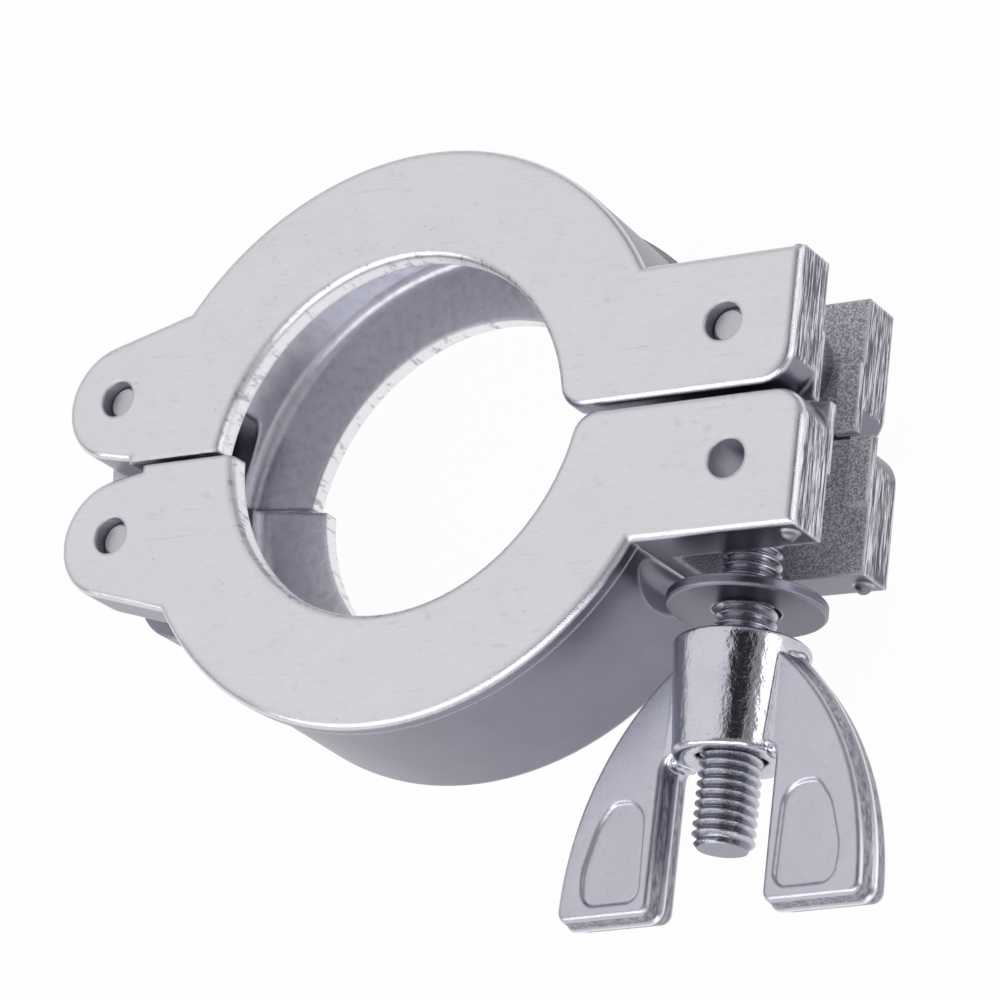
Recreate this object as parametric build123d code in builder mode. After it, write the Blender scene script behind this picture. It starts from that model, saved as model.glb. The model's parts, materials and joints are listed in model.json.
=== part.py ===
from build123d import *

import math
import os

# Hinged two-half flange clamp with a swing bolt and a wing nut.
#
# Frame: the clamp lies on its back face at Z = 0, front face up at +Z.
# The origin is on the flange axis, midway between the two halves.
# +X points to the bolt side, -X to the hinge side, and Y crosses the split.
# Each half is one casting, drawn once about its own bore centre, with its
# material on the +Y side of the split and its middle plane at Z = 0.

# ---- castings -------------------------------------------------------------
clamp_thickness = 16.0
bore_radius = 17.0            # clears the pipe side of the flanges
ring_radius = 26.7
groove_radius = 22.8          # floor of the tapered groove
lip_width = 2.0               # land at the bore edge on each side of the groove
flank_angle = 15.0            # taper of the groove's flanks
groove_corner = 1.2
split_set_back = 1.5          # bore centre to split face: less than a half circle
split_gap = 0.5               # left between the halves as pictured, no flange inside
half_shift = 1.6              # lower half stands this much further to the bolt side
edge_round = 0.8              # cast edges of the outline
rim_width = 1.7               # rim at one face, proud of the drafted body behind it
rim_step = 0.5
rim_land = 0.2                # plain band left between the draft and the other face's rounding

# ---- bolt-side ears ---------------------------------------------------------
ear_length = 11.1             # ring to sawn end face
seat_height = 13.0            # bore centre to washer seat
bolt_pin_from_end = 6.4
bolt_pin_y = 7.1
bolt_slot_width = 6.9
bolt_slot_depth = 12.6        # from the end face inwards
bolt_slot_corner = 0.6
seat_corner = 0.8
split_corner = 2.8
seat_blend = 2.0              # inside radius from ring to ear
bore_corner_bolt_side = 2.2
pocket_radius = 9.4           # clearance for the washer, cut into the ring
pocket_centre = 7.2           # from the end face inwards
pocket_blend = 1.2
guide_pad_length = 2.0        # raised pads inside the cheeks, at the end face
guide_pad_height = 5.8
guide_pad_rise = 0.45
nub_radius = 0.75             # ejector nubs beside the seat
nub_from_end = 1.3
nub_from_face = 2.0

# ---- hinge-side ears --------------------------------------------------------
hinge_pin_outside = 2.0       # ring to pin centre, towards -X
hinge_pin_y = 7.6
hinge_ear_radius = 5.35
hinge_ear_slope = 15.0        # outer edge, from the ear up to the ring
hinge_relief = 3.7            # split face starts this far in from the pin
hinge_blend = 3.0
bore_corner_hinge_side = 1.0
hinge_slot_width = 6.8
hinge_slot_reach = 7.5        # pin centre to the slot's inner wall: breaks into the groove
hinge_slot_corner = 1.6

# ---- pins and link ----------------------------------------------------------
pin_diameter = 3.2
pin_recess = 1.0              # pin ends below the faces
pin_chamfer = 0.35
pin_clearance = 0.05          # in the castings
pivot_clearance = 0.1         # in the link and in the bolt's eye
side_clearance = 0.25         # link and eye in their slots, each side
link_end_radius = 4.2
link_edge = 0.4

# ---- swing bolt, washer and wing nut ----------------------------------------
bolt_diameter = 5.0
bolt_length = 40.6            # pin centre to tip
bolt_tip_chamfer = 0.5
eye_radius = 4.0
eye_edge = 0.5
neck_length = 2.0             # taper from the eye to the shank
washer_diameter = 12.7
washer_thickness = 1.0
washer_clearance = 0.25
washer_edge = 0.15
washer_gap = 2.75             # washer off its seat: the nut is backed off as pictured
nut_gap = 2.85                # hub off the washer
nut_turn = -8.0               # degrees about the bolt, wings nearly in the clamp's plane
thread_clearance = 0.1
hub_top_radius = 5.45
hub_bottom_radius = 4.6
hub_height = 9.4
hub_edge = 0.4
wing_span = 29.8
wing_height = 21.8            # top of the hub to the wing tips
wing_thickness = 3.6
wing_inner = 5.1              # bolt axis to the wings' inner edges
wing_root = 0.9               # wings start this far below the hub's top
wing_bow = 2.85               # outer edge's arc off its chord
wing_edge = 0.9
wing_corner = 1.3
pad_depth = 0.4               # sunken finger pads, teardrop-shaped
pad_inset = 2.4               # pad to outer edge
pad_margin = 1.3              # pad to inner edge
pad_height = 8.2
pad_shoulder = 2.7            # straight part of the outer side
pad_top_width = 2.0
pad_from_tip = 1.5
pad_corner = 0.95

# ---- worked-out places --------------------------------------------------------
half_thickness = clamp_thickness / 2
ear_end = ring_radius + ear_length
bolt_pin_x = ear_end - bolt_pin_from_end
hinge_pin_x = ring_radius + hinge_pin_outside
hinge_slot_wall = hinge_pin_x - hinge_slot_reach
half_offset = split_set_back - split_gap / 2
upper_centre = (-half_shift / 2, -half_offset)
lower_centre = (half_shift / 2, half_offset)
pin_length = clamp_thickness - 2 * pin_recess
pin_hole = pin_diameter / 2 + pin_clearance
pivot_hole = pin_diameter / 2 + pivot_clearance

upper_hinge = (upper_centre[0] - hinge_pin_x, upper_centre[1] + hinge_pin_y)
lower_hinge = (lower_centre[0] - hinge_pin_x, lower_centre[1] - hinge_pin_y)
bolt_pivot = (upper_centre[0] + bolt_pin_x, upper_centre[1] + bolt_pin_y)

lower_seat = lower_centre[1] - seat_height
washer_stand_off = bolt_pivot[1] - lower_seat + washer_gap      # pin centre to the washer
nut_stand_off = washer_stand_off + washer_thickness + nut_gap   # pin centre to the hub's top

link_width = hinge_slot_width - 2 * side_clearance
eye_width = bolt_slot_width - 2 * side_clearance
beyond = 2 * ring_radius      # longer than any cut needs to be

os.makedirs("parts", exist_ok=True)


# ---- one half casting -----------------------------------------------------------
# Outline: ring, square bolt ear and round hinge ear, cut off at the split.
# The outer edge of the hinge ear rises to the ring at the ear's slope.
slope = math.radians(hinge_ear_slope)
ear_inside_x = -bore_radius
ear_edge_rise = hinge_ear_radius / math.cos(slope) + (hinge_pin_x + ear_inside_x) * math.tan(slope)
ear_edge_y = hinge_pin_y + ear_edge_rise

with BuildSketch() as hinge_ear:
    with Locations((-hinge_pin_x, hinge_pin_y)):
        Circle(hinge_ear_radius)
    with BuildLine():
        Polyline(
            (-hinge_pin_x + hinge_relief, split_set_back),
            (ear_inside_x, split_set_back),
            (ear_inside_x, ear_edge_y),
        )
    make_hull()

with BuildSketch() as outline:
    Circle(ring_radius)
    with Locations((0, split_set_back)):
        Rectangle(ear_end, seat_height - split_set_back, align=(Align.MIN, Align.MIN))
    add(hinge_ear.sketch)
    with Locations((0, split_set_back)):
        Rectangle(2 * beyond, beyond, align=(Align.CENTER, Align.MAX), mode=Mode.SUBTRACT)
    corners = outline.vertices()
    end_corners = corners.group_by(Axis.X)[-1].sort_by(Axis.Y)
    ear_roots = corners.filter_by(lambda v: abs(math.hypot(v.X, v.Y) - ring_radius) < 0.01)
    fillet(end_corners[0], split_corner)
    chamfer(end_corners[-1], seat_corner)
    fillet(ear_roots.sort_by(Axis.X)[-1], seat_blend)
    fillet(ear_roots.sort_by(Axis.X)[0], hinge_blend)
    Circle(bore_radius, mode=Mode.SUBTRACT)
    bore_corners = outline.vertices().filter_by(lambda v: abs(math.hypot(v.X, v.Y) - bore_radius) < 0.01)
    fillet(bore_corners.sort_by(Axis.X)[-1], bore_corner_bolt_side)
    fillet(bore_corners.sort_by(Axis.X)[0], bore_corner_hinge_side)


slot_plane = Plane((0, 0, 0), x_dir=(1, 0, 0), z_dir=(0, 1, 0))
with BuildSketch(slot_plane) as bolt_slot:
    with Locations((ear_end - bolt_slot_depth, 0)):
        Rectangle(beyond, bolt_slot_width, align=(Align.MIN, Align.CENTER))
    fillet(bolt_slot.vertices().group_by(Axis.X)[0], bolt_slot_corner)

with BuildSketch(slot_plane) as hinge_slot:
    with Locations((-hinge_slot_wall, 0)):
        Rectangle(beyond, hinge_slot_width, align=(Align.MAX, Align.CENTER))
    fillet(hinge_slot.vertices().group_by(Axis.X)[-1], hinge_slot_corner)

# The groove takes the two flange rims: wide at the bore, narrower at the floor.
groove_mouth = half_thickness - lip_width
groove_floor = groove_mouth - (groove_radius - bore_radius) * math.tan(math.radians(flank_angle))
with BuildSketch(Plane.XZ) as groove:
    with BuildLine():
        Polyline(
            (bore_radius - lip_width, -groove_mouth),
            (bore_radius, -groove_mouth),
            (groove_radius, -groove_floor),
            (groove_radius, groove_floor),
            (bore_radius, groove_mouth),
            (bore_radius - lip_width, groove_mouth),
            close=True,
        )
    make_face()
    fillet(groove.vertices().group_by(Axis.X)[-1], groove_corner)

# Behind the rim the ring is a little smaller and drafted out to the other face,
# from the washer seat to the hinge slot.
step_start = math.asin(seat_height / ring_radius)
step_end = math.acos(-hinge_slot_wall / ring_radius)
step_direction = (math.cos(step_start), math.sin(step_start), 0)
step_normal = (math.sin(step_start), -math.cos(step_start), 0)
with BuildPart() as ring_step:
    with BuildSketch(Plane((0, 0, 0), x_dir=step_direction, z_dir=step_normal)):
        with BuildLine():
            Polyline(
                (ring_radius - rim_step, rim_width - half_thickness),
                (beyond, rim_width - half_thickness),
                (beyond, half_thickness - edge_round - rim_land),
                (ring_radius, half_thickness - edge_round - rim_land),
                close=True,
            )
        make_face()
    revolve(axis=Axis.Z, revolution_arc=math.degrees(step_end - step_start))

# A round pocket lets the washer sit close against the ring.
seat_plane = Plane((ear_end - pocket_centre, seat_height, 0), x_dir=(1, 0, 0), z_dir=(0, 1, 0))
with BuildPart(seat_plane) as washer_pocket:
    Cylinder(pocket_radius, ring_radius, align=(Align.CENTER, Align.CENTER, Align.MIN))
    fillet(washer_pocket.edges().filter_by(GeomType.CIRCLE).sort_by(Axis.Y)[0], pocket_blend)


def is_cast_edge(edge):
    """True for an outline edge that is rounded: not at the split, the sawn end or the bore."""
    middle = edge @ 0.5
    at_split = middle.Y < split_set_back + 0.01
    at_end = middle.X > ear_end - seat_corner
    at_bore = math.hypot(middle.X, middle.Y) < bore_radius + bore_corner_bolt_side
    return not (at_split or at_end or at_bore)


with BuildPart() as half_casting:
    extrude(outline.sketch, amount=half_thickness, both=True)
    face_edges = half_casting.faces().filter_by(Axis.Z).edges()
    fillet(face_edges.filter_by(is_cast_edge), edge_round)
    extrude(bolt_slot.sketch, amount=beyond, mode=Mode.SUBTRACT)
    extrude(hinge_slot.sketch, amount=beyond, mode=Mode.SUBTRACT)
    add(ring_step.part, mode=Mode.SUBTRACT)
    revolve(groove.sketch, axis=Axis.Z, mode=Mode.SUBTRACT)
    add(washer_pocket.part, mode=Mode.SUBTRACT)
    for side in (-1, 1):
        with Locations((ear_end, split_set_back, side * bolt_slot_width / 2)):
            Box(
                guide_pad_length,
                guide_pad_height,
                2 * guide_pad_rise,
                align=(Align.MAX, Align.MIN, Align.CENTER),
            )
        with Locations((ear_end - nub_from_end, seat_height, side * (half_thickness - nub_from_face))):
            Sphere(nub_radius)
    with Locations((bolt_pin_x, bolt_pin_y, half_thickness), (-hinge_pin_x, hinge_pin_y, half_thickness)):
        Hole(pin_hole)

# The same casting serves as both halves: the lower one is turned over about X.
with BuildPart() as upper_shell:
    with Locations((*upper_centre, half_thickness)):
        add(half_casting.part)

with BuildPart() as lower_shell:
    with Locations(Location((*lower_centre, half_thickness), (180, 0, 0))):
        add(half_casting.part)


# ---- pins and link --------------------------------------------------------------
def build_pin(place):
    """A plain pin, chamfered at both ends, standing below both faces of the castings."""
    with BuildPart(Plane.XY.offset(pin_recess)) as pin:
        with Locations(place):
            Cylinder(pin_diameter / 2, pin_length, align=(Align.CENTER, Align.CENTER, Align.MIN))
        chamfer(pin.edges().filter_by(GeomType.CIRCLE), pin_chamfer)
    return pin


hinge_pin_upper = build_pin(upper_hinge)
hinge_pin_lower = build_pin(lower_hinge)
bolt_pin = build_pin(bolt_pivot)

link_rise = upper_hinge[1] - lower_hinge[1]
link_lean = upper_hinge[0] - lower_hinge[0]
link_middle = ((upper_hinge[0] + lower_hinge[0]) / 2, (upper_hinge[1] + lower_hinge[1]) / 2)
with BuildPart() as hinge_link:
    with BuildSketch(Plane.XY.offset(half_thickness - link_width / 2)):
        with Locations(link_middle):
            SlotCenterToCenter(
                math.hypot(link_rise, link_lean),
                2 * link_end_radius,
                rotation=math.degrees(math.atan2(link_rise, link_lean)),
            )
    extrude(amount=link_width)
    chamfer(hinge_link.faces().filter_by(Axis.Z).edges(), link_edge)
    with Locations((*upper_hinge, half_thickness + link_width / 2), (*lower_hinge, half_thickness + link_width / 2)):
        Hole(pivot_hole)


# ---- swing bolt -------------------------------------------------------------------
# Down the bolt: local Z runs from the pin towards the tip.
bolt_plane = Plane((*bolt_pivot, half_thickness), x_dir=(1, 0, 0), z_dir=(0, -1, 0))
bolt_radius = bolt_diameter / 2

with BuildPart(bolt_plane) as swing_bolt:
    with BuildSketch(Plane.XY.offset(half_thickness - eye_width / 2)):
        with Locations(bolt_pivot):
            Circle(eye_radius)
    extrude(amount=eye_width)
    chamfer(swing_bolt.edges().filter_by(GeomType.CIRCLE), eye_edge)
    Cylinder(bolt_radius, bolt_length, align=(Align.CENTER, Align.CENTER, Align.MIN))
    chamfer(swing_bolt.edges().filter_by(GeomType.CIRCLE).sort_by(Axis.Y)[0], bolt_tip_chamfer)
    with Locations((0, 0, eye_radius - neck_length / 2)):
        Cone(
            eye_width / 2,
            bolt_radius,
            neck_length,
            align=(Align.CENTER, Align.CENTER, Align.MIN),
        )
    with BuildSketch(Plane.XY.offset(half_thickness - eye_width / 2)):
        with Locations(bolt_pivot):
            Circle(pivot_hole)
    extrude(amount=eye_width, mode=Mode.SUBTRACT)


# ---- washer -------------------------------------------------------------------------
with BuildPart(bolt_plane.offset(washer_stand_off)) as washer:
    Cylinder(washer_diameter / 2, washer_thickness, align=(Align.CENTER, Align.CENTER, Align.MIN))
    chamfer(washer.edges().filter_by(GeomType.CIRCLE), washer_edge)
    Cylinder(bolt_radius + washer_clearance, beyond, mode=Mode.SUBTRACT)


# ---- wing nut -------------------------------------------------------------------------
# Wings are drawn in the plane of the bolt axis and the span, seen from the front,
# with the top of the hub at zero and the wings below it.
turn = math.radians(nut_turn)
nut_top = (bolt_pivot[0], bolt_pivot[1] - nut_stand_off, half_thickness)
wing_plane = Plane(nut_top, x_dir=(math.cos(turn), 0, -math.sin(turn)), z_dir=(math.sin(turn), 0, math.cos(turn)))

with BuildSketch(wing_plane) as wings:
    with BuildLine():
        SagittaArc((wing_inner, -wing_root), (wing_span / 2, -wing_height), wing_bow)
        Polyline(
            (wing_span / 2, -wing_height),
            (wing_inner, -wing_height),
            (wing_inner, -hub_height),
            (0, -hub_height),
            (0, -wing_root),
            (wing_inner, -wing_root),
        )
    make_face()
    fillet(wings.vertices().group_by(Axis.Y)[0], wing_corner)
    mirror(about=Plane.YZ)

pad_inner = wing_inner + pad_margin
pad_outer = wing_span / 2 - pad_inset
pad_low = pad_from_tip - wing_height
pad_high = pad_low + pad_height

with BuildPart() as hub:
    with BuildSketch(bolt_plane.offset(nut_stand_off)) as hub_top:
        Circle(hub_top_radius)
    with BuildSketch(bolt_plane.offset(nut_stand_off + hub_height)) as hub_bottom:
        Circle(hub_bottom_radius)
    loft([hub_top.sketch.face(), hub_bottom.sketch.face()])
    fillet(hub.edges().filter_by(GeomType.CIRCLE), hub_edge)

with BuildPart() as wing_nut:
    extrude(wings.sketch, amount=wing_thickness / 2, both=True)
    fillet(wing_nut.faces().filter_by(wing_plane).edges(), wing_edge)
    for side in (-1, 1):
        with BuildSketch(wing_plane.offset(side * (wing_thickness / 2 - pad_depth))) as finger_pad:
            with BuildLine():
                Polyline(
                    (pad_inner, pad_low),
                    (pad_outer, pad_low),
                    (pad_outer, pad_low + pad_shoulder),
                    (pad_inner + pad_top_width, pad_high),
                    (pad_inner, pad_high),
                    close=True,
                )
            make_face()
            fillet(finger_pad.vertices(), pad_corner)
            mirror(about=Plane.YZ)
        extrude(finger_pad.sketch, amount=side * wing_thickness, mode=Mode.SUBTRACT)
    add(hub.part)
    with BuildSketch(bolt_plane.offset(nut_stand_off)) as thread_bore:
        Circle(bolt_radius + thread_clearance)
    extrude(thread_bore.sketch, amount=hub_height, mode=Mode.SUBTRACT)


# ---- one file for each piece ------------------------------------------------------------
upper_shell.part.label = "upper_shell"
export_step(upper_shell.part, "parts/upper_shell.step")
lower_shell.part.label = "lower_shell"
export_step(lower_shell.part, "parts/lower_shell.step")
hinge_link.part.label = "hinge_link"
export_step(hinge_link.part, "parts/hinge_link.step")
hinge_pin_upper.part.label = "hinge_pin_upper"
export_step(hinge_pin_upper.part, "parts/hinge_pin_upper.step")
hinge_pin_lower.part.label = "hinge_pin_lower"
export_step(hinge_pin_lower.part, "parts/hinge_pin_lower.step")
bolt_pin.part.label = "bolt_pin"
export_step(bolt_pin.part, "parts/bolt_pin.step")
swing_bolt.part.label = "swing_bolt"
export_step(swing_bolt.part, "parts/swing_bolt.step")
washer.part.label = "washer"
export_step(washer.part, "parts/washer.step")
wing_nut.part.label = "wing_nut"
export_step(wing_nut.part, "parts/wing_nut.step")
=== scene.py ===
"""Dresses a hinged flange clamp: cast, sawn and plated metal, a real screw thread and a plain studio."""

import json
import math

import bmesh
import bpy
from bpy.props import FloatProperty, FloatVectorProperty, PointerProperty
from mathutils import Matrix, Vector, noise
from mathutils.geometry import tessellate_polygon

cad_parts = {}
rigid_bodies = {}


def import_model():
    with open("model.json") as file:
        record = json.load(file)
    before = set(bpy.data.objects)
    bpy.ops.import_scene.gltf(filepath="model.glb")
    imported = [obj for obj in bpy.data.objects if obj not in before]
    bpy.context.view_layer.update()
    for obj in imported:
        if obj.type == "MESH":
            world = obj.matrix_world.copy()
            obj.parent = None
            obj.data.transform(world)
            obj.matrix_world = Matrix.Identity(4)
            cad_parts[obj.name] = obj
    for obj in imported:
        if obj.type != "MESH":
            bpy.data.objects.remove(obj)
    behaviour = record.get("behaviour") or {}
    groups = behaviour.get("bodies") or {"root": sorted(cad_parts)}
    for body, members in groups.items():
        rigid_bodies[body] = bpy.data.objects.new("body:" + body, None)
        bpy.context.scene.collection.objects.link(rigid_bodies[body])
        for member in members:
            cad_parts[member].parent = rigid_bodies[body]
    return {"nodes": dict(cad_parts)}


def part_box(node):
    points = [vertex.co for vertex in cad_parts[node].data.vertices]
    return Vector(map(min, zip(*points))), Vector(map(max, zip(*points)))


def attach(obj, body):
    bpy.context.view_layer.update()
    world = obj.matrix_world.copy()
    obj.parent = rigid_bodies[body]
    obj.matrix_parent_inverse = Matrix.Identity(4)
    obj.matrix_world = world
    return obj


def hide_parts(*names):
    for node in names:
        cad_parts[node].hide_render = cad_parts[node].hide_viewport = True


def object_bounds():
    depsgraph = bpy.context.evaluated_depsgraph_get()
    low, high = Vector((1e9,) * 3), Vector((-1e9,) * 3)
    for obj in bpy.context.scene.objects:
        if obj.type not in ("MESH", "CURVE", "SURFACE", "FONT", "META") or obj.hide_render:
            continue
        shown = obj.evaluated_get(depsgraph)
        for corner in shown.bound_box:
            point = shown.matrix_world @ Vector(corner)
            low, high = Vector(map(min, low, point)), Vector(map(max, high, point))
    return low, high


bl_info = {
    "name": "Flange Clamp Dressing",
    "version": (1, 0, 0),
    "blender": (4, 5, 0),
    "location": "View3D > Sidebar > Flange Clamp",
    "description": "Gives a hinged flange clamp its metal finishes, its screw thread and a plain studio",
    "category": "Object",
}

for leftover in list(bpy.data.objects):
    bpy.data.objects.remove(leftover)
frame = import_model()
cad_low, cad_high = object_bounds()
nodes = frame["nodes"]

MM = 0.001

# ---- places on the clamp, in millimetres ------------------------------------
EAR_END = 37.8            # bore centre to the sawn end of the bolt ears
RING_RADIUS = 26.7
BORE_RADIUS = 17.0
GROOVE_RADIUS = 22.8
HALF_THICKNESS = 8.0
GROOVE_MOUTH = 6.0        # middle plane to the inner edge of each lip
SLOT_HALF_WIDTH = 3.45
SLOT_WALL = 25.2          # bore centre to the closed end of the bolt slot
BOLT_HOLE = (31.4, 7.1)   # bore centre to the hole in the bolt ears
HINGE_HOLE = (-28.7, 7.6)
HOLE_RADIUS = 1.65
BOLT_RADIUS = 2.5
HUB_TOP_RADIUS = 5.45
HUB_BOTTOM_RADIUS = 4.6
HUB_HEIGHT = 9.4
NUT_TURN = math.radians(-8)   # wings off the clamp's plane

# ---- colours that the finishes share -----------------------------------------
BLACK = (0.0, 0.0, 0.0)
# painted highlight: the colour that sharp edges are brightened towards
PAINTED_EDGE_HIGHLIGHT = (0.92, 0.92, 0.95)
BRIGHT_EDGE = (0.95, 0.95, 0.98)


def clamp_centre(shell, side):
    """Bore centre of one half, from its casting's box. Side is 1 for the upper half, -1 for the lower."""
    low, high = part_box(shell)
    rim = high.y if side > 0 else low.y
    return high.x / MM - EAR_END, rim / MM - side * RING_RADIUS


# ---- shader maths -------------------------------------------------------------
class Wire:
    """One output socket, usable in arithmetic. Each operation adds its Math node."""

    def __init__(self, finish, socket):
        self.finish = finish
        self.socket = socket

    def _math(self, operation, *values, clamp=False):
        settings = {"operation": operation, "use_clamp": clamp}
        return self.finish.node("ShaderNodeMath", settings, dict(enumerate(values)))

    def __add__(self, other):
        return self._math("ADD", self, other)

    __radd__ = __add__

    def __mul__(self, other):
        return self._math("MULTIPLY", self, other)

    __rmul__ = __mul__

    def __sub__(self, other):
        return self._math("SUBTRACT", self, other)

    def __rsub__(self, other):
        return self._math("SUBTRACT", other, self)

    def __abs__(self):
        return self._math("ABSOLUTE", self)

    def root(self):
        return self._math("SQRT", self)

    def held(self):
        """The value kept between 0 and 1."""
        return self._math("ADD", self, 0.0, clamp=True)

    def rise(self, start, end, low=0.0, high=1.0):
        """Goes smoothly from low to high as the value goes from start to end."""
        return self.finish.node(
            "ShaderNodeMapRange",
            {"interpolation_type": "SMOOTHSTEP"},
            {"Value": self, "From Min": start, "From Max": end, "To Min": low, "To Max": high},
        )


def distance(along, across):
    """Length of the long side of a right-angled triangle, from its two short sides."""
    return (along * along + across * across).root()


class Finish:
    """A finish in the making: a material, its Principled shader, and the nodes that feed it."""

    def __init__(self, name, metallic=1.0):
        self.material = bpy.data.materials.new(name)
        self.material.use_nodes = True
        self.tree = self.material.node_tree
        self.shader = self.tree.nodes["Principled BSDF"]
        self.shader.inputs["Metallic"].default_value = metallic

    def node(self, kind, settings=None, inputs=None, output=0):
        """Adds one node: its settings first, then the values or links of its sockets."""
        made = self.tree.nodes.new(kind)
        for key, value in (settings or {}).items():
            setattr(made, key, value)
        for key, value in (inputs or {}).items():
            self.feed(made.inputs[key], value)
        return Wire(self, made.outputs[output])

    def feed(self, socket, value):
        if isinstance(value, Wire):
            self.tree.links.new(value.socket, socket)
        elif isinstance(value, tuple) and len(value) == 3 and socket.type == "RGBA":
            socket.default_value = (*value, 1.0)
        else:
            socket.default_value = value

    def shade(self, **inputs):
        """Feeds the Principled shader: base_color=..., roughness=..., normal=..."""
        for key, value in inputs.items():
            self.feed(self.shader.inputs[key.replace("_", " ").title()], value)
        return self.material

    def place(self):
        """Where a point is on the clamp at rest, in millimetres: the vector and its x, y and z."""
        found = self.node("ShaderNodeTexCoord", output="Object")
        scaled = self.node("ShaderNodeVectorMath", {"operation": "SCALE"}, {0: found, "Scale": 1 / MM})
        return scaled, *self.split(scaled)

    def split(self, vector):
        first = self.node("ShaderNodeSeparateXYZ", inputs={0: vector})
        made = first.socket.node
        return tuple(Wire(self, made.outputs[i]) for i in range(3))

    def stretch(self, vector, x, y, z):
        """A place with its axes scaled. A small number draws the pattern out along that axis."""
        return self.node("ShaderNodeVectorMath", {"operation": "MULTIPLY"}, {0: vector, 1: (x, y, z)})

    def noise(self, vector, scale, detail=2.0, roughness=0.5, distortion=0.0):
        """Uneven shades from 0 to 1, with about scale of them to a millimetre."""
        inputs = {
            "Vector": vector, "Scale": scale, "Detail": detail,
            "Roughness": roughness, "Distortion": distortion,
        }
        return self.node("ShaderNodeTexNoise", {"normalize": True}, inputs)

    def cells(self, vector, scale):
        """Distance to the nearest of many scattered points."""
        return self.node("ShaderNodeTexVoronoi", None, {"Vector": vector, "Scale": scale})

    def mix(self, amount, first, second):
        """A colour from first to second by amount."""
        return self.node(
            "ShaderNodeMix",
            {"data_type": "RGBA"},
            {"Factor": amount, 6: first, 7: second},
            output=2,
        )

    def blend(self, amount, first, second):
        """A number from first to second by amount."""
        return self.node("ShaderNodeMix", {"data_type": "FLOAT"}, {0: amount, 2: first, 3: second})

    def shaded(self, tone, colour):
        """A colour darkened where the tone is below 1."""
        return self.mix(tone.held(), BLACK, tuple(colour))

    def edges(self, radius):
        """Where sharp edges are, from 0 to 1, and the surface's direction with those edges rounded."""
        rounded = self.node("ShaderNodeBevel", {"samples": 4}, {"Radius": radius * MM})
        flat = self.node("ShaderNodeNewGeometry", output="Normal")
        settings = {"operation": "DOT_PRODUCT"}
        likeness = self.node("ShaderNodeVectorMath", settings, {0: rounded, 1: flat}, "Value")
        return likeness.rise(0.99, 0.80), rounded

    def bump(self, height, depth, rounded):
        """The surface's direction with a relief on it, depth millimetres deep, and its edges rounded."""
        inputs = {"Height": height, "Strength": 1.0, "Distance": depth * MM, "Normal": rounded}
        return self.node("ShaderNodeBump", None, inputs)


def paint(names, material):
    """Gives nodes of the clamp a material in place of their own."""
    for name in names:
        mesh = nodes[name].data
        mesh.materials.clear()
        mesh.materials.append(material)


# ---- sizes and colours that a user would change ------------------------------------
class CastingLooks(bpy.types.PropertyGroup):
    face_colour: FloatVectorProperty(
        name="Sanded faces", description="Front and back faces, sanded flat", subtype="COLOR",
        size=3, min=0, max=1, default=(0.75, 0.75, 0.79),
    )
    skin_colour: FloatVectorProperty(
        name="Cast skin", description="Rounded sides as cast", subtype="COLOR",
        size=3, min=0, max=1, default=(0.26, 0.26, 0.32),
    )
    groove_colour: FloatVectorProperty(
        name="Groove", description="Tapered groove inside the ring", subtype="COLOR",
        size=3, min=0, max=1, default=(0.72, 0.72, 0.79),
    )
    sawn_colour: FloatVectorProperty(
        name="Sawn ends", description="End faces of the bolt ears", subtype="COLOR",
        size=3, min=0, max=1, default=(0.90, 0.90, 0.97),
    )
    line_spacing: FloatProperty(
        name="Sanding lines", description="Spacing of the sanding lines, in millimetres",
        min=0.02, max=1.0, default=0.11,
    )


class FastenerLooks(bpy.types.PropertyGroup):
    plated_colour: FloatVectorProperty(
        name="Bright plating", description="Bolt, washer and hub of the wing nut", subtype="COLOR",
        size=3, min=0, max=1, default=(0.64, 0.64, 0.72),
    )
    satin_colour: FloatVectorProperty(
        name="Satin plating", description="Flat faces of the wings", subtype="COLOR",
        size=3, min=0, max=1, default=(0.59, 0.59, 0.67),
    )
    washer_colour: FloatVectorProperty(
        name="Washer", description="Dull plating of the washer", subtype="COLOR",
        size=3, min=0, max=1, default=(0.16, 0.157, 0.207),
    )
    pin_colour: FloatVectorProperty(
        name="Pin steel", description="Hinge pins, bolt pin and link", subtype="COLOR",
        size=3, min=0, max=1, default=(0.60, 0.60, 0.64),
    )


class ThreadSizes(bpy.types.PropertyGroup):
    pitch: FloatProperty(
        name="Pitch", description="Distance from one turn to the next", unit="LENGTH", precision=5,
        min=0.0002, max=0.003, default=0.0008,
    )
    depth: FloatProperty(
        name="Depth", description="Crest to root", unit="LENGTH", precision=5,
        min=0.0001, max=0.001, default=0.00046,
    )
    start: FloatProperty(
        name="Start", description="Pin centre to the first turn", unit="LENGTH", precision=4,
        min=0.006, max=0.03, default=0.0142,
    )


class WingNutSizes(bpy.types.PropertyGroup):
    thickness: FloatProperty(
        name="Thickness", description="Across the wings' flat faces", unit="LENGTH", precision=4,
        min=0.002, max=0.006, default=0.0036,
    )
    pad_depth: FloatProperty(
        name="Pad depth", description="How far the finger pads are sunk", unit="LENGTH", precision=5,
        min=0.0, max=0.001, default=0.0004,
    )


class StageLooks(bpy.types.PropertyGroup):
    floor_colour: FloatVectorProperty(
        name="Floor", description="Plain floor", subtype="COLOR",
        size=3, min=0, max=1, default=(0.95, 0.95, 0.96),
    )
    soft_light: FloatProperty(
        name="Soft light", description="Strength of the room's even light", min=0, max=3, default=0.36,
    )
    lamp_level: FloatProperty(
        name="Lamps", description="Multiplies every lamp", min=0, max=5, default=1.0,
    )
    focal_length: FloatProperty(
        name="Focal length", description="Of the camera, on a 36 mm wide picture",
        subtype="DISTANCE_CAMERA", min=10, max=400, default=148.07,
    )


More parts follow.
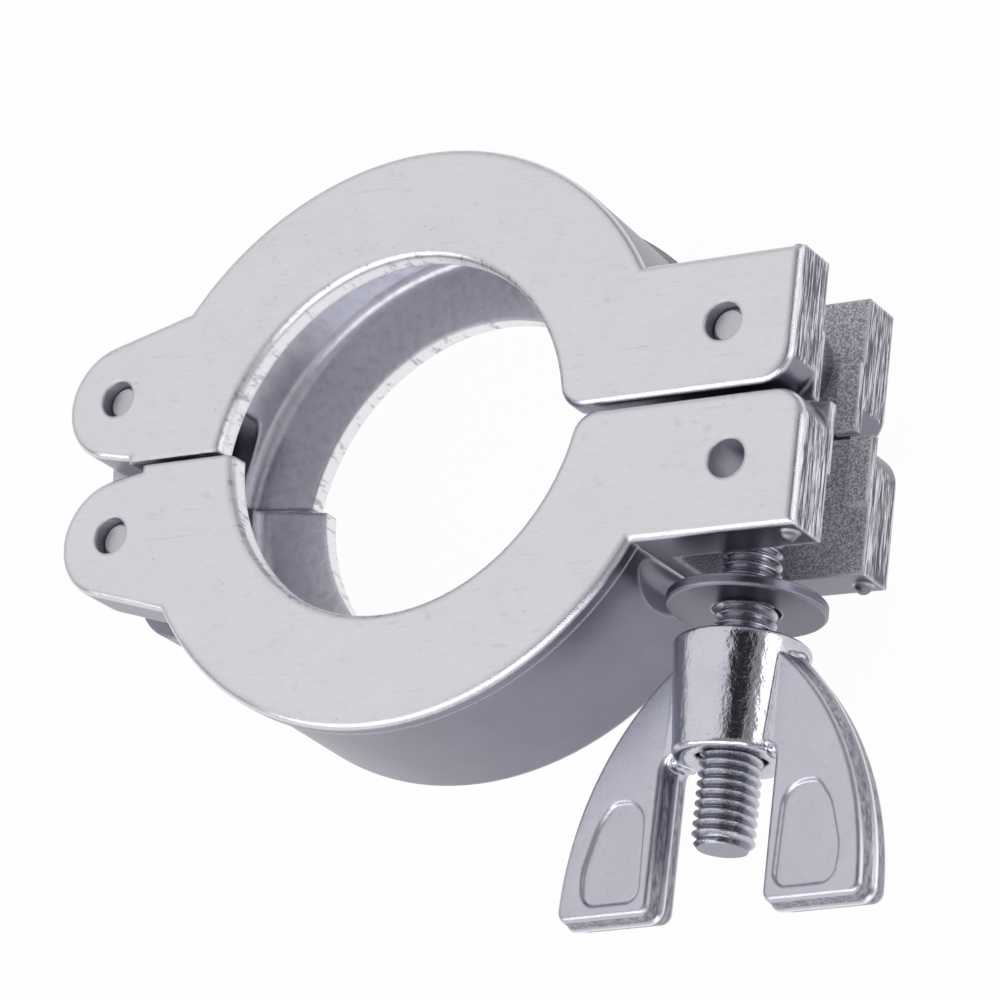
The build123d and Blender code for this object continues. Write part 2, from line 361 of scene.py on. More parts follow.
# ---- castings -------------------------------------------------------------------------
SKIN_SHADE = (0.06, 0.06, 0.075)
GROOVE_SHADE = (0.20, 0.20, 0.24)
SLOT_SHADE = (0.42, 0.42, 0.48)
SLOT_SPECKS = (0.95, 0.95, 0.99)
LAND_SHADE = (0.55, 0.55, 0.61)
SAW_SHADE = (0.09, 0.09, 0.12)
# painted highlight for the band just below the face edge
RIM_PAINTED_HIGHLIGHT = (0.80, 0.80, 0.86)
HOLE_WALL = (0.60, 0.60, 0.66)


def cast_areas(x, y, z, centre, side):
    """Where each worked area of a half casting lies, and the rim band that gets a painted highlight, as
    masks from 0 to 1.
    """
    depth = abs(z - HALF_THICKNESS)
    out_x = x - centre[0]
    out_y = y - centre[1]
    radius = distance(out_x, out_y)
    holes = 0.0
    for along, across in (BOLT_HOLE, HINGE_HOLE):
        off_axis = distance(out_x - along, out_y - side * across)
        holes = off_axis.rise(HOLE_RADIUS + 0.16, HOLE_RADIUS + 0.04) + holes
    at_bore = radius.rise(BORE_RADIUS + 0.9, BORE_RADIUS + 0.15)
    past_bore = radius.rise(BORE_RADIUS + 1.4, BORE_RADIUS + 2.4)
    within_ring = radius.rise(GROOVE_RADIUS + 0.3, GROOVE_RADIUS + 0.1)
    between_lips = depth.rise(GROOVE_MOUTH + 0.1, GROOVE_MOUTH - 0.05)
    in_slot = depth.rise(SLOT_HALF_WIDTH + 0.12, SLOT_HALF_WIDTH - 0.02)
    return {
        "face": depth.rise(HALF_THICKNESS - 0.20, HALF_THICKNESS - 0.02),
        # rim: a band just below the face edge, outside the bore, where a highlight is painted
        "rim": depth.rise(HALF_THICKNESS - 0.85, HALF_THICKNESS - 0.45) * past_bore,
        "land": at_bore * depth.rise(GROOVE_MOUTH - 0.1, GROOVE_MOUTH + 0.1),
        "groove": within_ring * between_lips,
        "sawn": out_x.rise(EAR_END - 0.12, EAR_END - 0.04),
        "slot": in_slot * out_x.rise(SLOT_WALL - 0.9, SLOT_WALL),
        "holes": holes.held(),
    }


def cast_finish(name, centre, side, looks):
    """Sanded faces, bright bore edges, sawn ear ends, a grey groove and grainy slots, over a cast skin,
    with a painted highlight along sharp edges and on a band just below the face edge.
    """
    finish = Finish(name)
    place, x, y, z = finish.place()
    areas = cast_areas(x, y, z, centre, side)
    edge, rounded = finish.edges(0.5)

    sanding = finish.noise(finish.stretch(place, 0.10, 1.0, 1.0), 1 / looks.line_spacing, 3.0, 0.6)
    cloud = finish.noise(place, 0.22, 3.0, 0.55)
    grain = finish.noise(place, 5.5, 3.0, 0.65)
    slot_grain = finish.noise(place, 6.5, 2.0, 0.6)
    pits = finish.cells(place, 0.7).rise(0.09, 0.04) * finish.noise(place, 0.5, 2.0).rise(0.5, 0.6)
    smudges = finish.noise(finish.stretch(place, 0.6, 1.0, 1.0), 0.9, 5.0, 0.8).rise(0.56, 0.72)
    scratches = finish.noise(finish.stretch(place, 0.04, 1.0, 1.0), 3.0, 2.0, 0.5).rise(0.64, 0.76)
    saw_lines = finish.noise(finish.stretch(place, 1.0, 0.06, 1.0), 4.6, 4.0, 0.7, 0.3)
    rubbed = finish.noise(finish.stretch(place, 1.0, 1.0, 0.35), 1.3, 4.0, 0.65)

    skin_tone = 0.62 + 0.35 * cloud + 0.25 * grain
    groove_tone = 0.40 + 0.9 * rubbed + 0.2 * cloud
    face_tone = 0.85 + 0.19 * sanding + 0.07 * cloud
    face_tone = face_tone * (1 - 0.12 * smudges) * (1 - 0.10 * scratches) * (1 - 0.2 * pits)

    colour = finish.mix(skin_tone.held(), SKIN_SHADE, tuple(looks.skin_colour))
    for area, amount, shade, shine in (
        ("groove", groove_tone.held(), GROOVE_SHADE, tuple(looks.groove_colour)),
        ("slot", slot_grain.rise(0.34, 0.66), SLOT_SHADE, SLOT_SPECKS),
        ("land", rubbed.rise(0.34, 0.48), LAND_SHADE, BRIGHT_EDGE),
        ("sawn", saw_lines.rise(0.43, 0.63), SAW_SHADE, tuple(looks.sawn_colour)),
    ):
        colour = finish.mix(areas[area], colour, finish.mix(amount, shade, shine))
    # painted highlight along sharp edges, from the edge mask
    colour = finish.mix(edge * 0.8, colour, PAINTED_EDGE_HIGHLIGHT)
    # painted highlight on the band just below the face edge
    colour = finish.mix(areas["rim"] * 0.85, colour, RIM_PAINTED_HIGHLIGHT)
    colour = finish.mix(areas["holes"], colour, HOLE_WALL)
    colour = finish.mix(areas["face"], colour, finish.shaded(face_tone, looks.face_colour))

    roughness = 0.25 + 0.12 * grain
    for area, amount in (
        ("slot", 0.75),
        ("rim", 0.14 + 0.12 * grain),
        ("holes", 0.4),
        ("face", 0.36 + 0.10 * sanding),
        ("sawn", 0.22 + 0.2 * saw_lines),
    ):
        roughness = finish.blend(areas[area], roughness, amount)

    height = 0.35 * grain + 0.8 * rubbed * (1 - areas["slot"]) + 2.4 * slot_grain * areas["slot"]
    height = finish.blend(areas["face"], height, 0.3 * sanding - 0.6 * pits - 0.3 * scratches)
    height = finish.blend(areas["sawn"], height, 2.6 * saw_lines)
    return finish.shade(
        base_color=colour,
        roughness=roughness,
        normal=finish.bump(height, 0.03, rounded),
    )


class CLAMP_OT_castings(bpy.types.Operator):
    """Finish both half castings."""

    bl_idname = "clamp.castings"
    bl_label = "Castings"

    def execute(self, context):
        looks = context.scene.clamp_castings
        for shell, side in (("upper_shell", 1), ("lower_shell", -1)):
            name = shell.replace("shell", "casting")
            paint([shell], cast_finish(name, clamp_centre(shell, side), side, looks))
        return {"FINISHED"}


# ---- pins, link, washer and bolt ---------------------------------------------------------
def steel_finish(name, colour, shine, lines=(1.0, 1.0, 1.0), spacing=0.12, depth=0.012, edge_radius=0.12):
    """Turned or plated steel: fine tool lines, clouding, small dull specks, and a painted highlight along
    sharp edges.
    """
    finish = Finish(name)
    place, _x, _y, _z = finish.place()
    tool = finish.noise(finish.stretch(place, *lines), 1 / spacing, 3.0, 0.6)
    cloud = finish.noise(place, 0.9, 3.0, 0.6)
    specks = finish.noise(place, 6.0, 3.0, 0.7).rise(0.62, 0.74)
    tone = (0.78 + 0.2 * tool + 0.2 * cloud) * (1 - 0.25 * specks)
    edge, rounded = finish.edges(edge_radius)
    return finish.shade(
        # painted highlight along sharp edges
        base_color=finish.mix(edge * 0.8, finish.shaded(tone, colour), PAINTED_EDGE_HIGHLIGHT),
        roughness=shine + 0.12 * cloud + 0.12 * specks,
        normal=finish.bump(tool + 0.6 * cloud, depth, rounded),
    )


class CLAMP_OT_pins_and_link(bpy.types.Operator):
    """Finish the three pins and the hinge link."""

    bl_idname = "clamp.pins_and_link"
    bl_label = "Pins and link"

    def execute(self, context):
        colour = context.scene.clamp_fasteners.pin_colour
        pins = steel_finish("pin_steel", colour, 0.36, spacing=0.3, depth=0.02)
        paint(["hinge_pin_upper", "hinge_pin_lower", "bolt_pin"], pins)
        paint(["hinge_link"], steel_finish("link_steel", colour, 0.4, (0.2, 1.0, 1.0), 0.15))
        return {"FINISHED"}


class CLAMP_OT_washer(bpy.types.Operator):
    """Finish the plain washer."""

    bl_idname = "clamp.washer"
    bl_label = "Washer"

    def execute(self, context):
        colour = context.scene.clamp_fasteners.washer_colour
        plating = steel_finish("washer_plating", colour, 0.24, spacing=0.5, depth=0.01, edge_radius=0.35)
        paint(["washer"], plating)
        return {"FINISHED"}


# One turn of the thread, crest to crest: share of the pitch, share of the depth.
THREAD_TURN = ((0.0, 0.0), (0.12, 0.0), (0.48, 0.92), (0.56, 1.0), (0.64, 0.92))
CREST_RADIUS = BOLT_RADIUS - 0.03
TIP_CHAMFER = 0.55
TIP_SLOPE = 0.9
RUN_OUT = 1.2             # the first turn gets deeper over this length
# painted shade: the colour that the roots of the thread are darkened to
PAINTED_ROOT_SHADE = (0.26, 0.26, 0.32)
MERGE = 2e-6              # points nearer than this, in metres, are one


def threaded_rod(pivot, sizes, length):
    """A closed threaded rod along -Y, from its start below the pivot to the bolt's tip."""
    steps_round = 96
    reach = length - sizes.start
    turns = math.ceil(reach / sizes.pitch) + 1
    major = CREST_RADIUS * MM
    work = bmesh.new()
    rows = []
    for turn in range(-1, turns):
        for share, cut in THREAD_TURN:
            row = []
            for step in range(steps_round):
                angle = 2 * math.pi * step / steps_round
                down = (turn + share + step / steps_round) * sizes.pitch
                down = min(max(down, 0.0), reach)
                fade = min(down / (RUN_OUT * MM), 1.0)
                to_tip = reach - down
                radius = major - sizes.depth * cut * fade
                radius = min(radius, major - (TIP_CHAMFER * MM - to_tip) * TIP_SLOPE)
                around = Vector((math.cos(angle) * radius, -sizes.start - down, -math.sin(angle) * radius))
                row.append(work.verts.new(pivot + around))
            rows.append(row)
    # The last step of a row meets the first step one whole turn further down.
    per_turn = len(THREAD_TURN)
    for upper, lower in zip(range(len(rows) - per_turn - 1), range(1, len(rows) - per_turn)):
        for step in range(steps_round):
            last = step == steps_round - 1
            next_upper = rows[upper + per_turn][0] if last else rows[upper][step + 1]
            next_lower = rows[lower + per_turn][0] if last else rows[lower][step + 1]
            work.faces.new((rows[upper][step], rows[lower][step], next_lower, next_upper))
    loose = [v for v in work.verts if not v.link_faces]
    bmesh.ops.delete(work, geom=loose, context="VERTS")
    bmesh.ops.remove_doubles(work, verts=work.verts, dist=MERGE)
    bmesh.ops.dissolve_degenerate(work, edges=work.edges, dist=MERGE / 2)
    bmesh.ops.holes_fill(work, edges=[e for e in work.edges if e.is_boundary], sides=0)
    bmesh.ops.recalc_face_normals(work, faces=work.faces)
    return work


def bolt_finish(colour, pivot):
    """Bright plating on the crests of the thread, with painted shade darkening its roots and a painted
    highlight along sharp edges.
    """
    finish = Finish("bolt_plating")
    place, x, _y, z = finish.place()
    crest = distance(x - pivot.x, z - pivot.z).rise(BOLT_RADIUS - 0.46, BOLT_RADIUS - 0.12)
    rolled = finish.noise(finish.stretch(place, 1.0, 0.35, 1.0), 3.5, 3.0, 0.6)
    specks = finish.noise(place, 6.0, 3.0, 0.7).rise(0.58, 0.72)
    edge, rounded = finish.edges(0.08)
    tone = (0.72 + 0.4 * rolled) * (1 - 0.35 * specks)
    # painted shade in the thread's roots, from the crest mask
    body = finish.mix(crest, PAINTED_ROOT_SHADE, finish.shaded(tone, colour))
    return finish.shade(
        # painted highlight along sharp edges
        base_color=finish.mix(edge * 0.5, body, PAINTED_EDGE_HIGHLIGHT),
        roughness=0.18 + 0.2 * specks + 0.1 * rolled,
        normal=finish.bump(rolled + 0.5 * specks, 0.02, rounded),
    )


def bolt_eye(cut_at):
    """The bolt's eye and neck, cut off square where the thread starts, as a mesh."""
    eye = bmesh.new()
    eye.from_mesh(nodes["swing_bolt"].data)
    bmesh.ops.remove_doubles(eye, verts=eye.verts, dist=MERGE / 2)
    everything = eye.verts[:] + eye.edges[:] + eye.faces[:]
    bmesh.ops.bisect_plane(eye, geom=everything, plane_co=cut_at, plane_no=(0, -1, 0), clear_outer=True)
    bmesh.ops.holes_fill(eye, edges=[e for e in eye.edges if e.is_boundary], sides=0)
    mesh = bpy.data.meshes.new("bolt_eye")
    eye.to_mesh(mesh)
    eye.free()
    return mesh


class CLAMP_OT_bolt(bpy.types.Operator):
    """Cut the thread of the swing bolt, keeping its eye and neck."""

    bl_idname = "clamp.bolt"
    bl_label = "Threaded bolt"

    def execute(self, context):
        sizes = context.scene.clamp_thread
        pin_low, pin_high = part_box("bolt_pin")
        bolt_low, _bolt_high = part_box("swing_bolt")
        pivot = (pin_low + pin_high) / 2
        work = threaded_rod(pivot, sizes, pivot.y - bolt_low.y)
        overlap = 0.2 * MM
        eye = bolt_eye(pivot - Vector((0, sizes.start + overlap, 0)))
        work.from_mesh(eye)
        bpy.data.meshes.remove(eye)

        mesh = bpy.data.meshes.new("threaded_bolt")
        work.to_mesh(mesh)
        work.free()
        mesh.shade_smooth()
        mesh.set_sharp_from_angle(angle=math.radians(32))
        bolt = bpy.data.objects.new("threaded_bolt", mesh)
        context.scene.collection.objects.link(bolt)
        colour = context.scene.clamp_fasteners.plated_colour
        mesh.materials.append(bolt_finish(colour, pivot / MM))
        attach(bolt, "swing_bolt")
        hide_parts("swing_bolt")
        return {"FINISHED"}


# ---- wing nut ------------------------------------------------------------------------
# Corners of a wing, counter-clockwise: out from the bolt's axis, up from the hub's top, and the radius.
WING_FOOT = ((5.1, -21.8, 1.3), (14.9, -21.8, 1.3))
WING_ROOT = ((5.1, -0.9, 1.0), (3.2, -0.9, 1.0), (3.2, -9.3, 1.0), (5.1, -9.3, 0.7))
WING_BOW = 2.85
WING_BOW_PARTS = 10
WING_BOW_RADIUS = 22.0    # rounds the corners between the parts of the bow
WING_HALF_THICKNESS = 1.8
# From the parting line to the flat face of a wing: in from the outline, up from the middle plane.
WING_SIDE = (
    (0.0, 0.0), (0.05, 0.13), (0.17, 0.22), (0.26, 0.55), (0.34, 1.10),
    (0.40, 1.38), (0.50, 1.59), (0.64, 1.72), (0.80, 1.785), (0.90, 1.80),
)
# Corners of a finger pad, as the wing's, and its step: in from its outline, share of its depth.
PAD_OUTLINE = (
    (6.4, -20.4, 1.2), (12.1, -20.4, 1.4), (12.45, -17.6, 5.0),
    (11.3, -13.9, 4.0), (9.9, -12.1, 1.2), (6.7, -12.15, 2.0),
)
PAD_STEP = ((-0.22, 0.0), (-0.08, 0.06), (0.02, 0.28), (0.10, 0.74), (0.18, 0.94), (0.32, 1.0))
# Cast lumps at the hub's foot and near its top: centre from the middle of its top, and half sizes.
CAST_LUMPS = (((4.75, -9.15, 0.1), (0.75, 0.62, 1.5)), ((5.25, -1.5, -0.3), (0.6, 0.55, 1.2)))
LUMP_UNEVENNESS = 0.22
NUT_BORE_RADIUS = 2.62
DRAFT_SHADE = (0.10, 0.10, 0.13)


def arc_corners(start, end, bow, parts, radius):
    """Corners on an arc from start to end that stands off its chord by bow, both ends left out."""
    chord = end - start
    out = Vector((chord.y, -chord.x)).normalized()
    arc_radius = chord.length ** 2 / (8 * bow) + bow / 2
    centre = (start + end) / 2 + out * (bow - arc_radius)
    sweep = 2 * math.asin(chord.length / 2 / arc_radius)
    first = math.atan2(start.y - centre.y, start.x - centre.x)
    for part in range(1, parts):
        angle = first + sweep * part / parts
        yield centre.x + arc_radius * math.cos(angle), centre.y + arc_radius * math.sin(angle), radius


def rounded_outline(corners, steps=6):
    """A closed counter-clockwise outline with rounded corners: points, each with its outward direction."""
    outline = []
    for index, (x, y, radius) in enumerate(corners):
        corner = Vector((x, y))
        before = (Vector(corners[index - 1][:2]) - corner).normalized()
        after = (Vector(corners[(index + 1) % len(corners)][:2]) - corner).normalized()
        half = before.angle(after) / 2
        centre = corner + (before + after).normalized() * (radius / math.sin(half))
        first = corner + before * (radius / math.tan(half)) - centre
        last = corner + after * (radius / math.tan(half)) - centre
        start = math.atan2(first.y, first.x)
        sweep = (math.atan2(last.y, last.x) - start + math.pi) % (2 * math.pi) - math.pi
        bulge = 1 if sweep > 0 else -1
        for step in range(steps + 1):
            angle = start + sweep * step / steps
            away = Vector((math.cos(angle), math.sin(angle)))
            outline.append((centre + away * radius, away * bulge))
    return outline


def ring(work, outline, inset, height, mirror):
    """One closed row of points, in from an outline and up from the wing's middle plane."""
    return [work.verts.new((mirror * (p.x - n.x * inset), p.y - n.y * inset, height)) for p, n in outline]


def join_rings(work, first, second):
    """Faces between two closed rows of as many points."""
    for index, here in enumerate(first):
        after = (index + 1) % len(first)
        work.faces.new((here, first[after], second[after], second[index]))


def add_wing(work, sizes, mirror):
    """A wing with drafted sides that meet in a parting line, and a sunken finger pad on each face."""
    top = Vector(WING_ROOT[0][:2])
    foot = Vector(WING_FOOT[1][:2])
    bowed = tuple(arc_corners(foot, top, WING_BOW, WING_BOW_PARTS, WING_BOW_RADIUS))
    outline = rounded_outline(WING_FOOT + bowed + WING_ROOT)
    pad = rounded_outline(PAD_OUTLINE)
    half_thickness = sizes.thickness / MM / 2
    pad_depth = sizes.pad_depth / MM
    middle = ring(work, outline, 0.0, 0.0, mirror)
    for face in (1, -1):
        rows = [middle]
        for inset, height in WING_SIDE[1:]:
            level = face * height * half_thickness / WING_HALF_THICKNESS
            rows.append(ring(work, outline, inset, level, mirror))
            join_rings(work, rows[-2], rows[-1])
        pad_rows = []
        for inset, share in PAD_STEP:
            level = face * (half_thickness - pad_depth * share)
            pad_rows.append(ring(work, pad, inset, level, mirror))
        for first, second in zip(pad_rows, pad_rows[1:]):
            join_rings(work, first, second)
        work.faces.new(pad_rows[-1])
        flat = rows[-1] + pad_rows[0]
        for triangle in tessellate_polygon([[v.co for v in rows[-1]], [v.co for v in pad_rows[0]]]):
            work.faces.new([flat[corner] for corner in triangle])


def add_hub(work):
    """The tapered hub: rounded rims, a slight flare at its foot, and its bore."""
    steps_round = 128
    top, foot, height, bore = HUB_TOP_RADIUS, HUB_BOTTOM_RADIUS, HUB_HEIGHT, NUT_BORE_RADIUS
    profile = (
        (bore, 0.35), (bore + 0.33, 0.0),
        (top - 0.50, 0.0), (top - 0.24, 0.06), (top - 0.08, 0.20), (top - 0.02, 0.42), (top - 0.10, 1.0),
        (foot + 0.10, height - 1.1), (foot + 0.10, height - 0.6), (foot + 0.06, height - 0.32),
        (foot - 0.08, height - 0.10), (foot - 0.32, height),
        (bore + 0.48, height), (bore, height - 0.45),
    )
    rows = []
    for radius, down in profile:
        row = []
        for step in range(steps_round):
            angle = 2 * math.pi * step / steps_round
            row.append(work.verts.new((radius * math.cos(angle), -down, radius * math.sin(angle))))
        rows.append(row)
    for first, second in zip(rows, rows[1:] + rows[:1]):
        join_rings(work, first, second)


def add_cast_lump(work, centre, size):
    """A small uneven lump of metal, left where a wing runs into the hub."""
    spot = Matrix.Translation(centre) @ Matrix.Diagonal((*size, 1.0))
    made = bmesh.ops.create_icosphere(work, subdivisions=4, radius=1.0, matrix=spot)
    for vertex in made["verts"]:
        away = (vertex.co - Vector(centre)).normalized()
        vertex.co += away * LUMP_UNEVENNESS * noise.noise(vertex.co * 1.3)


def nut_mesh(sizes, stand):
    """The whole wing nut, drawn about its own axis in millimetres and put where it stands."""
    work = bmesh.new()
    for mirror in (1, -1):
        add_wing(work, sizes, mirror)
        for (along, up, across), size in CAST_LUMPS:
            add_cast_lump(work, (mirror * along, up, across), size)
    add_hub(work)
    bmesh.ops.recalc_face_normals(work, faces=work.faces)
    work.transform(stand @ Matrix.Scale(MM, 4))
    mesh = bpy.data.meshes.new("cast_wing_nut")
    work.to_mesh(mesh)
    work.free()
    mesh.shade_smooth()
    mesh.set_sharp_from_angle(angle=math.radians(50))
    return mesh


def nut_finish(top, looks):
    """A bright uneven hub, satin wings, dark streaked sides with a bright parting line, and a painted
    highlight along sharp edges.
    """
    finish = Finish("wing_nut_plating")
    place, x, y, z = finish.place()
    off_x = x - top.x / MM
    off_z = z - top.z / MM
    foot = top.y / MM - HUB_HEIGHT
    hub = distance(off_x, off_z).rise(HUB_TOP_RADIUS + 0.25, HUB_TOP_RADIUS - 0.1)
    hub = hub * y.rise(foot - 0.9, foot - 0.5)
    wings = 1 - hub
    across = abs(math.sin(NUT_TURN) * off_x + math.cos(NUT_TURN) * off_z)
    seam = across.rise(0.20, 0.10)
    draft = across.rise(0.20, 0.42) * across.rise(1.42, 1.22)
    edge, rounded = finish.edges(0.22)

    peel = finish.noise(finish.stretch(place, 1.0, 0.6, 1.0), 1.5, 3.0, 0.55)
    lumpy = finish.noise(place, 3.2, 3.0, 0.6)
    cloud = finish.noise(place, 0.35, 3.0, 0.5)
    grain = finish.noise(place, 5.5, 3.0, 0.65)
    dull = finish.noise(place, 2.2, 4.0, 0.75).rise(0.58, 0.72)
    streaks = finish.noise(finish.stretch(place, 1.0, 0.25, 1.0), 2.6, 4.0, 0.7, 0.3)

    tone = (0.80 + 0.18 * cloud + 0.12 * grain) * (1 - 0.22 * dull)
    satin = finish.shaded(tone, looks.satin_colour)
    colour = finish.mix(hub, satin, finish.shaded(tone, looks.plated_colour))
    colour = finish.mix(wings * draft * streaks.rise(0.66, 0.36, 0.35, 0.85), colour, DRAFT_SHADE)
    colour = finish.mix(wings * seam * 0.8, colour, BRIGHT_EDGE)
    # painted highlight along sharp edges
    colour = finish.mix(edge * 0.8, colour, BRIGHT_EDGE)
    height = finish.blend(hub, 0.30 * peel + 0.25 * grain, 0.9 * peel + 0.35 * lumpy)
    return finish.shade(
        base_color=colour,
        roughness=finish.blend(hub, 0.27 + 0.10 * cloud, 0.15 + 0.10 * dull),
        normal=finish.bump(height, 0.06, rounded),
    )


class CLAMP_OT_wing_nut(bpy.types.Operator):
    """Cast the wing nut: tapered hub, drafted wings with a parting line, and sunken finger pads."""

    bl_idname = "clamp.wing_nut"
    bl_label = "Wing nut"

    def execute(self, context):
        low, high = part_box("wing_nut")
        top = Vector(((low.x + high.x) / 2, high.y, (low.z + high.z) / 2))
        stand = Matrix.Translation(top) @ Matrix.Rotation(NUT_TURN, 4, "Y")
        mesh = nut_mesh(context.scene.clamp_nut, stand)
        mesh.materials.append(nut_finish(top, context.scene.clamp_fasteners))
        nut = bpy.data.objects.new("cast_wing_nut", mesh)
        context.scene.collection.objects.link(nut)
        steady = nut.modifiers.new("flat_faces", "WEIGHTED_NORMAL")
        steady.mode = "FACE_AREA"
        steady.weight = 100
        steady.keep_sharp = True
        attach(nut, "wing_nut")
        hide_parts("wing_nut")
        return {"FINISHED"}


# ---- stage ----------------------------------------------------------------------------------
# Soft lamps: direction from the origin, width and height in metres, brightness.
SOFTBOXES = {
    "key_softbox": ((-0.42, 0.33, 0.85), 1.2, 0.9, 0.56),
    "front_strip": ((-0.15, -0.86, 0.45), 1.3, 0.20, 3.0),
    "right_strip": ((0.96, 0.17, 0.14), 0.40, 0.24, 2.2),
}
SOFTBOX_DISTANCE = 0.6
CARD_DIRECTION = (0.53, 0.22, 0.82)
CARD_DISTANCE = 0.5
CARD_SIDE = 0.30
CARD_COLOUR = (0.01, 0.01, 0.012)
FLOOR_SIDE = 6.0
FLOOR_GAP = 0.1           # millimetres under the clamp
# How much of the floor's plain white the camera sees, and how much metal mirrors.
WHITE_SEEN = 0.97
WHITE_MIRRORED = 0.8
CAMERA_PLACE = (0.18790, -0.12013, 0.26597)
CAMERA_AZIMUTH = -32.6486
CAMERA_ELEVATION = 50.0619
CAMERA_ROLL = -56.6630
PICTURE_WIDTH = 36.0      # millimetres, on the camera's sensor


def facing_origin(towards, away):
    """Matrix of a flat lamp or card that stands off the origin in a direction and faces back to it."""
    direction = Vector(towards).normalized()
    turn = direction.to_track_quat("Z", "Y").to_matrix().to_4x4()
    return Matrix.Translation(direction * away) @ turn


def softbox(name, towards, width, height, brightness):
    """A lamp as bright over its whole area as a white surface of that brightness."""
    data = bpy.data.lights.new(name, "AREA")
    data.shape = "RECTANGLE"
    data.size = width
    data.size_y = height
    data.energy = brightness * math.pi * width * height
    lamp = bpy.data.objects.new(name, data)
    lamp.matrix_world = facing_origin(towards, SOFTBOX_DISTANCE)
    bpy.context.scene.collection.objects.link(lamp)


def flat_square(name, side):
    """A flat level square about the origin."""
    half = side / 2
    corners = [(-half, -half, 0), (half, -half, 0), (half, half, 0), (-half, half, 0)]
    mesh = bpy.data.meshes.new(name)
    mesh.from_pydata(corners, [], [(0, 1, 2, 3)])
    square = bpy.data.objects.new(name, mesh)
    bpy.context.scene.collection.objects.link(square)
    return square


def add_dark_card():
    """A black card that metal reflects and the camera doesn't see."""
    card = flat_square("shade_card", CARD_SIDE)
    card.matrix_world = facing_origin(CARD_DIRECTION, CARD_DISTANCE)
    card.visible_camera = False
    card.visible_diffuse = False
    card.visible_shadow = False
    finish = Finish("shade_card", metallic=0.0)
    card.data.materials.append(finish.shade(base_color=CARD_COLOUR, roughness=1.0))


def add_floor(colour):
    """Plain paper that looks white to the camera and in metal, and still takes the clamp's shadow."""
    floor = flat_square("floor", FLOOR_SIDE)
    floor.location.z = cad_low.z - FLOOR_GAP * MM
    finish = Finish("floor_paper", metallic=0.0)
    finish.shade(base_color=tuple(colour), roughness=0.9)
    white = finish.node("ShaderNodeEmission", None, {"Color": (1.0, 1.0, 1.0), "Strength": 1.0})
    path = finish.node("ShaderNodeLightPath").socket.node.outputs
    mirrored = Wire(finish, path["Is Glossy Ray"]) + Wire(finish, path["Is Transmission Ray"])
    seen = WHITE_SEEN * Wire(finish, path["Is Camera Ray"]) + WHITE_MIRRORED * mirrored
    paper = Wire(finish, finish.shader.outputs[0])
    both = finish.node("ShaderNodeMixShader", None, {0: seen, 1: paper, 2: white})
    finish.feed(finish.tree.nodes["Material Output"].inputs["Surface"], both)
    floor.data.materials.append(finish.material)


def add_room(strength):
    """Even white light from all round."""
    world = bpy.data.worlds.new("room")
    world.use_nodes = True
    background = world.node_tree.nodes["Background"]
    background.inputs["Color"].default_value = (1.0, 1.0, 1.0, 1.0)
    background.inputs["Strength"].default_value = strength
    bpy.context.scene.world = world


def add_camera(focal_length):
    """The camera, rolled on its side, looking down on the clamp from its front right."""
    data = bpy.data.cameras.new("camera")
    data.sensor_width = PICTURE_WIDTH
    data.lens = focal_length
    data.clip_start = 0.01
    data.clip_end = 20.0
    camera = bpy.data.objects.new("camera", data)
    azimuth = math.radians(CAMERA_AZIMUTH)
    elevation = math.radians(CAMERA_ELEVATION)
    level = math.cos(elevation)
    back = Vector((level * math.cos(azimuth), level * math.sin(azimuth), math.sin(elevation)))
    turn = back.to_track_quat("Z", "Y").to_matrix().to_4x4()
    roll = Matrix.Rotation(math.radians(CAMERA_ROLL), 4, "Z")
    camera.matrix_world = Matrix.Translation(CAMERA_PLACE) @ turn @ roll
    bpy.context.scene.collection.objects.link(camera)
    bpy.context.scene.camera = camera


class CLAMP_OT_stage(bpy.types.Operator):
    """Set a plain floor, soft lamps and the camera."""

    bl_idname = "clamp.stage"
    bl_label = "Studio"

    def execute(self, context):
        looks = context.scene.clamp_stage
        add_floor(looks.floor_colour)
        add_room(looks.soft_light)
        for name, (towards, width, height, brightness) in SOFTBOXES.items():
            softbox(name, towards, width, height, brightness * looks.lamp_level)
        add_dark_card()
        add_camera(looks.focal_length)
        context.scene.view_settings.view_transform = "Standard"
        return {"FINISHED"}


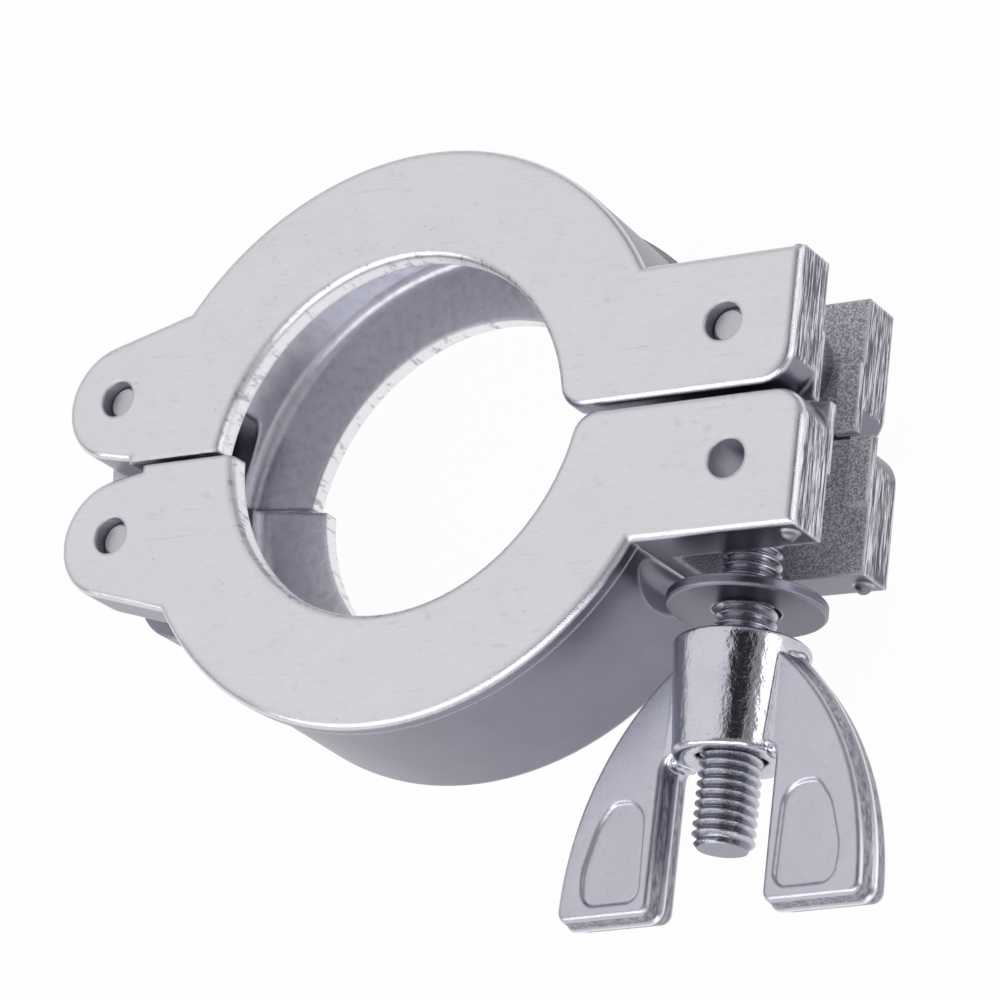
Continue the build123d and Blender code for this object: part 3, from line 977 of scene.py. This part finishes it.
class CLAMP_PT_panel(bpy.types.Panel):
    """Lists the clamp's pieces and the studio."""

    bl_idname = "CLAMP_PT_panel"
    bl_label = "Flange clamp"
    bl_space_type = "VIEW_3D"
    bl_region_type = "UI"
    bl_category = "Flange Clamp"

    def draw(self, context):
        """One box for each group of pieces, with its settings and buttons."""
        for title, group, operators in PANEL_ROWS:
            box = self.layout.box()
            box.label(text=title)
            settings = getattr(context.scene, group)
            for name in settings.bl_rna.properties.keys():
                if name not in ("rna_type", "name"):
                    box.prop(settings, name)
            for operator in operators:
                box.operator(operator)


SETTINGS = {
    "clamp_castings": CastingLooks,
    "clamp_fasteners": FastenerLooks,
    "clamp_thread": ThreadSizes,
    "clamp_nut": WingNutSizes,
    "clamp_stage": StageLooks,
}
OPERATORS = (
    CLAMP_OT_castings,
    CLAMP_OT_pins_and_link,
    CLAMP_OT_washer,
    CLAMP_OT_bolt,
    CLAMP_OT_wing_nut,
    CLAMP_OT_stage,
)
PANEL_ROWS = (
    ("Castings", "clamp_castings", ("clamp.castings",)),
    ("Fasteners", "clamp_fasteners", ("clamp.pins_and_link", "clamp.washer")),
    ("Wing nut", "clamp_nut", ("clamp.wing_nut",)),
    ("Thread", "clamp_thread", ("clamp.bolt",)),
    ("Studio", "clamp_stage", ("clamp.stage",)),
)


def register():
    """Makes the settings, operators and panel known."""
    for made in (*SETTINGS.values(), *OPERATORS, CLAMP_PT_panel):
        bpy.utils.register_class(made)
    for name, group in SETTINGS.items():
        setattr(bpy.types.Scene, name, PointerProperty(type=group))


def unregister():
    """Takes them away again."""
    for name in SETTINGS:
        delattr(bpy.types.Scene, name)
    for made in (CLAMP_PT_panel, *reversed(OPERATORS), *reversed(SETTINGS.values())):
        bpy.utils.unregister_class(made)


def main():
    """Dresses every piece and sets the stage."""
    register()
    bpy.ops.clamp.castings()
    bpy.ops.clamp.pins_and_link()
    bpy.ops.clamp.washer()
    bpy.ops.clamp.bolt()
    bpy.ops.clamp.wing_nut()
    bpy.ops.clamp.stage()


if __name__ == "__main__":
    main()
